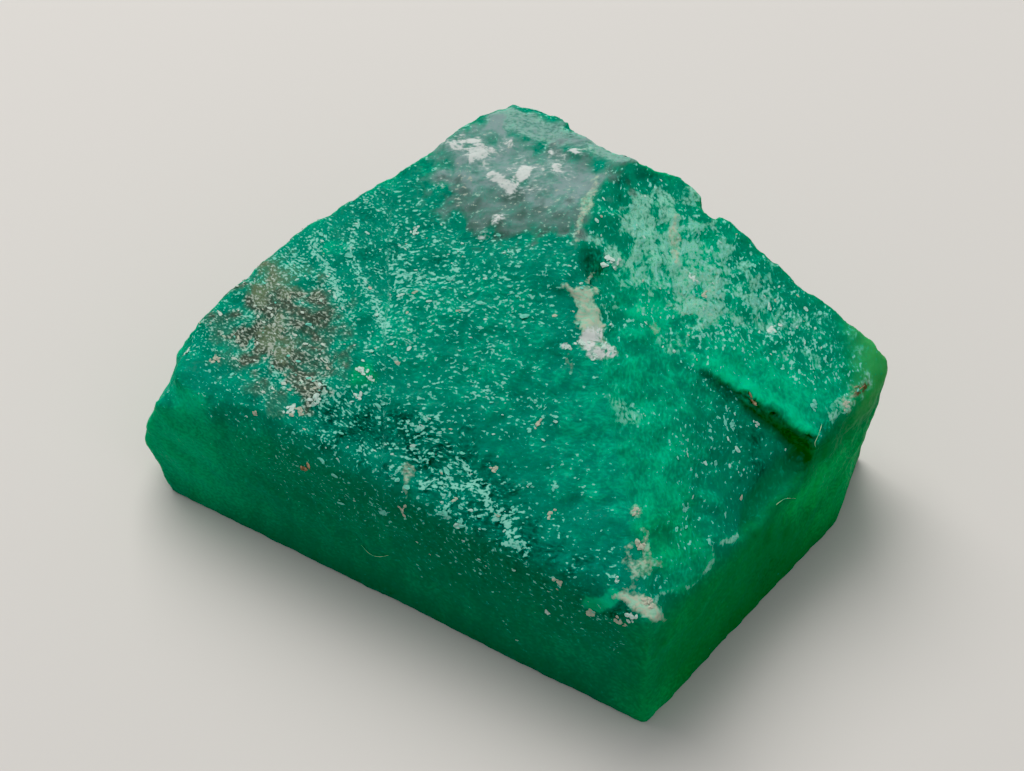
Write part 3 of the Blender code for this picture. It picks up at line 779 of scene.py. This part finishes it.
DUST_GRAINS = 2600
DUST_REACH = 0.038              # half the length of a usual grain
DUST_RANGE = 0.40               # how widely their sizes vary
DUST_HEIGHT = 0.006             # how far a grain's top stands above the skin
DUST_STRAY = 22.0               # how far a grain turns off the crystal's grain, in degrees
THIN_FLECKS = 0.45              # where the flecks are thinner than this, no grain lies
MINT_SHARE, MINT_SHARE_ON_ROCK = 0.75, 0.15     # of the grains on the beryl and on the schist
CRUMB_CHIPS = 9                 # chips that cake together into one crumb
LOT = 60                        # chips that are made together, which is quicker
MINT_TINT, WHITE_TINT, PEACH_TINT = 0.0, 0.5, 1.0
CRUMBS = [                      # place, reach and tint of the crumbs that stand out
    ((2.75, 1.32, 7.26), 0.20, WHITE_TINT), ((2.48, -1.21, 6.66), 0.13, WHITE_TINT),
    ((1.93, -1.09, 6.62), 0.13, WHITE_TINT), ((2.24, -1.50, 6.52), 0.10, WHITE_TINT),
    ((2.68, -1.37, 6.61), 0.12, WHITE_TINT), ((1.49, -1.16, 6.53), 0.10, WHITE_TINT),
    ((7.07, 0.23, 5.84), 0.18, WHITE_TINT), ((4.95, 1.27, 6.66), 0.12, WHITE_TINT),
    ((5.23, 0.81, 6.47), 0.12, PEACH_TINT), ((-8.91, 0.48, 4.75), 0.16, WHITE_TINT),
    ((-5.12, -1.87, 5.32), 0.20, WHITE_TINT), ((-5.76, -2.07, 5.15), 0.14, WHITE_TINT),
    ((-5.51, -2.21, 5.15), 0.14, PEACH_TINT), ((-3.92, -1.20, 5.73), 0.15, WHITE_TINT),
    ((-3.70, -1.47, 5.67), 0.10, WHITE_TINT), ((-3.98, -1.95, 5.46), 0.13, WHITE_TINT),
    ((2.08, -7.64, 3.63), 0.13, PEACH_TINT), ((2.23, -7.73, 3.54), 0.10, MINT_TINT),
    ((2.78, -8.05, 3.91), 0.14, PEACH_TINT), ((3.01, -8.12, 4.22), 0.14, WHITE_TINT),
    ((2.66, -7.32, 4.58), 0.09, WHITE_TINT), ((-0.36, -4.23, 5.21), 0.12, PEACH_TINT),
    ((0.13, -5.28, 4.92), 0.11, MINT_TINT), ((1.17, -4.79, 5.24), 0.12, MINT_TINT),
    ((1.04, -5.46, 4.99), 0.11, PEACH_TINT), ((0.51, -3.30, 5.65), 0.10, MINT_TINT),
    ((0.72, -3.11, 5.75), 0.10, PEACH_TINT), ((1.23, -7.10, 4.24), 0.13, PEACH_TINT),
    ((0.97, -6.98, 2.83), 0.09, WHITE_TINT), ((3.20, -5.61, 5.25), 0.12, PEACH_TINT),
    ((-3.29, -4.46, 3.72), 0.12, MINT_TINT), ((-2.82, -4.74, 4.16), 0.12, PEACH_TINT),
    ((-1.66, -5.17, 4.67), 0.13, MINT_TINT), ((-1.27, -5.49, 4.58), 0.11, MINT_TINT),
    ((-2.62, 3.08, 6.72), 0.12, WHITE_TINT), ((8.97, -1.69, 4.84), 0.13, PEACH_TINT),
    ((8.04, -1.91, 5.06), 0.14, MINT_TINT), ((3.43, -7.92, 4.49), 0.20, PEACH_TINT),
    ((3.27, -6.46, 4.97), 0.17, PEACH_TINT), ((-8.01, -0.06, 4.93), 0.12, PEACH_TINT),
    ((-6.00, 1.47, 5.65), 0.08, PEACH_TINT), ((-6.81, -2.08, 4.88), 0.09, PEACH_TINT),
    ((4.50, -5.21, 4.87), 0.13, MINT_TINT), ((6.56, -2.43, 4.93), 0.10, WHITE_TINT),
    ((5.85, -2.59, 5.07), 0.10, MINT_TINT),
]


def chip_of_rock(lump, seat, up, heading, radii, rounds=1):
    """Press one rough chip into the skin, its long side on a heading in degrees. Return its points."""
    side = up.cross(Vector((cos(radians(heading)), sin(radians(heading)), 0.0))).normalized()
    along = side.cross(up)
    lying = Matrix.Translation(seat) @ Matrix((along, side, up)).transposed().to_4x4()
    shape = lying @ Matrix.Diagonal((*radii, 1.0))
    verts = bmesh.ops.create_icosphere(lump, subdivisions=rounds, radius=1.0, matrix=shape)["verts"]
    for vert in verts:
        vert.co += noise.noise_vector(vert.co / radii[1] + 7.0 * up) * 0.5 * radii[1]
    return verts


dice = np.random.default_rng(7)
noise.seed_set(7)               # without it, the clock shapes the chips, anew at each run
crowding = np.clip(flecks - THIN_FLECKS, 0.0, 0.6) ** 1.1 * (skin_points[:, 2] > 0.4)
crowding *= np.clip(1.0 - 1.5 * plateau, 0.0, 1.0)
headings = np.where(far_left > 0.5, FAR_LEFT_GRAIN, LEFT_GRAIN)
headings = np.where(right > 0.5, RIGHT_GRAIN, headings)
chips = []
for i in dice.choice(len(crowding), DUST_GRAINS, p=crowding / crowding.sum()):
    reach = DUST_REACH * float(np.exp(DUST_RANGE * dice.normal()))
    radii = (reach * dice.uniform(1.0, 1.8), reach * dice.uniform(0.5, 0.9), DUST_HEIGHT)
    seat = Vector(skin_points[i] + dice.uniform(-0.04, 0.04, 3) * (1.0, 1.0, 0.0))
    mint_share, pale_tint = (MINT_SHARE, 0.3) if schist[i] < 0.3 else (MINT_SHARE_ON_ROCK, 0.7)
    shares = (mint_share, 0.85 * (1.0 - mint_share), 0.15 * (1.0 - mint_share))
    tint = float(dice.choice((MINT_TINT, pale_tint, PEACH_TINT), p=shares))
    heading = headings[i] + dice.normal(0.0, DUST_STRAY)
    chips.append((seat, Vector(skin_normals[i]), heading, radii, tint))
for middle, reach, tint in CRUMBS:
    for step in range(CRUMB_CHIPS):
        strayed = Vector(middle) + Vector(dice.normal(0.0, 0.5 * reach, 3)) * min(step, 1)
        seat, up, _, _ = skin_tree.find_nearest(strayed)
        size = reach * dice.uniform(0.3, 0.65)
        chips.append((seat, up, dice.uniform(0.0, 360.0), (size, 0.7 * size, 0.22 * size), tint))

dust = bmesh.new()
dust.verts.layers.float.new("tint")
lot_mesh = bpy.data.meshes.new("lot_of_chips")
for start in range(0, len(chips), LOT):
    lot = bmesh.new()
    tint_layer = lot.verts.layers.float.new("tint")
    for seat, up, heading, radii, tint in chips[start:start + LOT]:
        for vert in chip_of_rock(lot, seat, up, heading, radii):
            vert[tint_layer] = tint
    lot.to_mesh(lot_mesh)
    lot.free()
    dust.from_mesh(lot_mesh)
bpy.data.meshes.remove(lot_mesh)
for vert in dust.verts:
    vert.co = np.clip(vert.co, LOW + INSIDE_BOX, HIGH - INSIDE_BOX)
rock_dust = shown("rock_dust", dust)

MINT_DUST = (0.16, 0.53, 0.41, 1.0)
WHITE_DUST = (0.50, 0.64, 0.57, 1.0)
PEACH_DUST = (0.44, 0.45, 0.35, 1.0)
powder, tree, powder_skin = finish("pale_rock_powder")
tints = read(tree, "tint")
dirt = cloud(tree, in_millimetres(tree), 14.0, 2.0)
colour = paint(tree, rise(tree, tints, 0.0, 0.5), MINT_DUST, WHITE_DUST)
colour = paint(tree, rise(tree, tints, 0.5, 1.0), colour, PEACH_DUST)
colour = paint(tree, rise(tree, dirt, 0.45, 0.75, 0.0, 0.5), colour, FROST_THIN)
tree.links.new(colour, powder_skin.inputs["Base Color"])
tree.links.new(rise(tree, dirt, 0.3, 0.7, 0.6, 0.9), powder_skin.inputs["Roughness"])
powder_skin.inputs["Specular IOR Level"].default_value = 0.2
roughen(tree, powder_skin, dirt, 0.5, 0.00002)
rock_dust.data.materials.append(powder)
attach(rock_dust, "root")

# --------------------------------------------------------------------------------------------------
# Rusty crumbs: a few splinters of iron-stained rock, stuck on by clay. They are longer than the dust
# and lie at their own angles, and the largest stands on the lip of the step.

SPLINTERS = [                   # place, heading, half length and half width
    ((-5.39, -3.22, 4.07), 20.0, 0.15, 0.07), ((-5.27, -3.29, 4.24), 60.0, 0.10, 0.05),
    ((6.39, -1.91, 5.50), -85.0, 0.19, 0.05), ((6.43, -2.10, 5.43), -60.0, 0.13, 0.04),
    ((9.40, -1.14, 4.87), 42.0, 0.24, 0.012), ((9.35, -1.07, 4.92), 30.0, 0.12, 0.010),
]
splinters = bmesh.new()
for middle, heading, long, wide in SPLINTERS:
    seat, up, _, _ = skin_tree.find_nearest(Vector(middle))
    chip_of_rock(splinters, seat, up, heading, (long, wide, 0.8 * wide), 2)
rusty_crumbs = shown("rusty_crumbs", splinters)

IRON_BROWN = (0.15, 0.09, 0.04, 1.0)
IRON_BUFF = (0.42, 0.31, 0.19, 1.0)
ironstone, tree, iron_skin = finish("iron_stained_rock")
stain = cloud(tree, in_millimetres(tree), 9.0, 3.0)
iron_colour = paint(tree, rise(tree, stain, 0.4, 0.6), IRON_BROWN, IRON_BUFF)
tree.links.new(iron_colour, iron_skin.inputs["Base Color"])
iron_skin.inputs["Roughness"].default_value = 0.85
roughen(tree, iron_skin, stain, 0.6, 0.00003)
rusty_crumbs.data.materials.append(ironstone)
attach(rusty_crumbs, "root")

# --------------------------------------------------------------------------------------------------
# Lint: three hairs of pale fibre that cling to the stone. Each is a round thread laid just over the
# skin, by points that lie near it.

HAIR_REACH = 0.011              # half a hair's thickness
HAIR_LIFT = 0.02                # how far a hair's middle line lies above the skin
HAIRS = [                       # the low left wall, the lip's tip and the right wall
    [(-4.00, -4.04, 1.76), (-3.87, -4.12, 1.60), (-3.65, -4.25, 1.59), (-3.39, -4.40, 1.75),
     (-3.24, -4.49, 1.95)],
    [(8.25, -2.39, 4.88), (8.18, -2.59, 4.83), (8.12, -2.79, 4.78), (8.01, -2.90, 4.67),
     (8.07, -2.95, 4.56)],
    [(7.02, -4.16, 3.73), (7.16, -4.03, 3.73), (7.36, -3.92, 3.67), (7.61, -3.65, 3.30)],
]
hair_curve = bpy.data.curves.new("lint", "CURVE")
hair_curve.dimensions = "3D"
hair_curve.bevel_depth = HAIR_REACH / PER_MM
hair_curve.bevel_resolution = 2
hair_curve.resolution_u = 6
hair_curve.use_fill_caps = True
for hair in HAIRS:
    line = hair_curve.splines.new("NURBS")
    line.points.add(len(hair) - 1)
    for knot, point in zip(line.points, hair):
        seat, up, _, _ = skin_tree.find_nearest(Vector(point))
        knot.co = (*((seat + up * HAIR_LIFT) / PER_MM), 1.0)
    line.order_u = 3
    line.use_endpoint_u = True
lint = bpy.data.objects.new("lint", hair_curve)
bpy.context.collection.objects.link(lint)

FIBRE_PALE = (0.40, 0.62, 0.36, 1.0)
FIBRE_GREEN = (0.08, 0.42, 0.20, 1.0)
fibre, tree, fibre_skin = finish("pale_fibre")
twist = cloud(tree, in_millimetres(tree), 5.0, 2.0)
fibre_colour = paint(tree, rise(tree, twist, 0.4, 0.6), FIBRE_PALE, FIBRE_GREEN)
tree.links.new(fibre_colour, fibre_skin.inputs["Base Color"])
fibre_skin.inputs["Roughness"].default_value = 0.6
hair_curve.materials.append(fibre)
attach(lint, "root")

# --------------------------------------------------------------------------------------------------
# The stage: a round of pale paper, a large soft lamp over the back of the stone, a weak one in front
# of it, and a camera that looks steeply down on it.

FLOOR_REACH = 0.4
FLOOR_PAPER = (0.62, 0.6, 0.57, 1.0)
floor_mesh = bpy.data.meshes.new("floor")
ground = bmesh.new()
bmesh.ops.create_circle(ground, cap_ends=True, segments=64, radius=FLOOR_REACH)
ground.to_mesh(floor_mesh)
ground.free()
floor = bpy.data.objects.new("floor", floor_mesh)
bpy.context.collection.objects.link(floor)
paper, _, paper_skin = finish("pale_floor")
paper_skin.inputs["Base Color"].default_value = FLOOR_PAPER
paper_skin.inputs["Roughness"].default_value = 0.9
floor_mesh.materials.append(paper)

AIM = Vector((0.0757, 3.3706, 0.0)) / PER_MM     # what the camera and the lamps point at
CAMERA_DISTANCE = 0.060
CAMERA_PITCH = 48.0


def lamp(name, azimuth, elevation, distance, size, power, colour):
    """Hang a square soft lamp round the stone, facing it."""
    round_it, over_it = radians(azimuth), radians(elevation)
    out = Vector((cos(over_it) * cos(round_it), cos(over_it) * sin(round_it), sin(over_it)))
    light = bpy.data.lights.new(name, "AREA")
    light.size = size
    light.energy = power
    light.color = colour
    fitting = bpy.data.objects.new(name, light)
    fitting.location = AIM + out * distance
    fitting.rotation_euler = out.to_track_quat("Z", "Y").to_euler()
    bpy.context.collection.objects.link(fitting)


lamp("sky_light", 112.0, 58.0, 0.25, 0.20, 0.62, (1.0, 0.98, 0.95))
lamp("fill_light", -60.0, 40.0, 0.3, 0.25, 0.10, (0.95, 0.97, 1.0))

STUDIO_AIR = (0.94, 0.96, 1.0, 1.0)
STUDIO_STRENGTH = 0.35
DEEPEST_SHADE = 0.018           # what the picture shows as black
world = bpy.data.worlds.new("studio")
world.use_nodes = True
backdrop = world.node_tree.nodes["Background"]
backdrop.inputs["Color"].default_value = STUDIO_AIR
backdrop.inputs["Strength"].default_value = STUDIO_STRENGTH
bpy.context.scene.world = world
view = bpy.context.scene.view_settings
view.view_transform = "Standard"
view.use_curve_mapping = True
view.curve_mapping.black_level = (DEEPEST_SHADE,) * 3
view.curve_mapping.update()

lens = bpy.data.cameras.new("camera")
lens.lens = 70.0
lens.sensor_width = 36.0
lens.clip_start = 0.001
lens.clip_end = 5.0
camera = bpy.data.objects.new("camera", lens)
pitch = radians(CAMERA_PITCH)
camera.location = AIM + Vector((0.0, -cos(pitch), sin(pitch))) * CAMERA_DISTANCE
camera.rotation_euler = (radians(90.0 - CAMERA_PITCH), 0.0, 0.0)
bpy.context.collection.objects.link(camera)
bpy.context.scene.camera = camera
